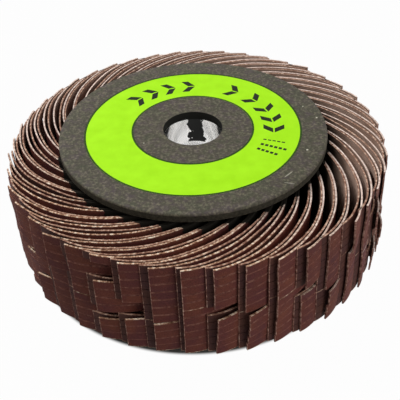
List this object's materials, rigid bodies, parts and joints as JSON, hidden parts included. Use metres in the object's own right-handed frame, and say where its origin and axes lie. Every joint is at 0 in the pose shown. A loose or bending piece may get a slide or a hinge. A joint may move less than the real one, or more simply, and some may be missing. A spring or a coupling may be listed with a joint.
{
  "type": "flap wheel",
  "caption": "Abrasive flap wheel: swept cloth flaps set round a cast core between two fibre flanges, with a plain sleeved bore and a ring label.",
  "frame": {"origin": "on the bore axis, in the plane of the rear flange's outer face, on which the wheel lies", "axes": "+Z along the bore from the rear face to the labelled front face; +X and +Y are square to it, and -Y is the side seen nearest in the picture"},
  "size_m": [0.2592, 0.2592, 0.088],
  "materials": {
    "fibre_flange": "pressed vulcanised fibre, dark grey-brown",
    "label_paper": "printed yellow-green label paper",
    "sleeve_steel": "drawn bright steel tube",
    "core_resin": "cast filled epoxy resin",
    "abrasive_cloth": "resin-bonded brown grain on cotton cloth"
  },
  "bodies": {
    "root": {"front_flange": "fibre_flange", "rear_flange": "fibre_flange", "front_label": "label_paper", "bore_sleeve": "sleeve_steel", "resin_core": "core_resin", "flap_pair_01": "abrasive_cloth", "flap_pair_02": "abrasive_cloth", "flap_pair_03": "abrasive_cloth", "flap_pair_04": "abrasive_cloth", "flap_pair_05": "abrasive_cloth", "flap_pair_06": "abrasive_cloth", "flap_pair_07": "abrasive_cloth", "flap_pair_08": "abrasive_cloth", "flap_pair_09": "abrasive_cloth", "flap_pair_10": "abrasive_cloth", "flap_pair_11": "abrasive_cloth", "flap_pair_12": "abrasive_cloth", "flap_pair_13": "abrasive_cloth", "flap_pair_14": "abrasive_cloth", "flap_pair_15": "abrasive_cloth", "flap_pair_16": "abrasive_cloth", "flap_pair_17": "abrasive_cloth", "flap_pair_18": "abrasive_cloth", "flap_pair_19": "abrasive_cloth", "flap_pair_20": "abrasive_cloth", "flap_pair_21": "abrasive_cloth", "flap_pair_22": "abrasive_cloth", "flap_pair_23": "abrasive_cloth", "flap_pair_24": "abrasive_cloth", "flap_pair_25": "abrasive_cloth", "flap_pair_26": "abrasive_cloth", "flap_pair_27": "abrasive_cloth", "flap_pair_28": "abrasive_cloth", "flap_pair_29": "abrasive_cloth", "flap_pair_30": "abrasive_cloth", "flap_pair_31": "abrasive_cloth", "flap_pair_32": "abrasive_cloth", "flap_pair_33": "abrasive_cloth", "flap_pair_34": "abrasive_cloth", "flap_pair_35": "abrasive_cloth", "flap_pair_36": "abrasive_cloth", "flap_pair_37": "abrasive_cloth", "flap_pair_38": "abrasive_cloth", "flap_pair_39": "abrasive_cloth", "flap_pair_40": "abrasive_cloth", "flap_pair_41": "abrasive_cloth", "flap_pair_42": "abrasive_cloth", "flap_pair_43": "abrasive_cloth", "flap_pair_44": "abrasive_cloth"}
  },
  "joints": []
}
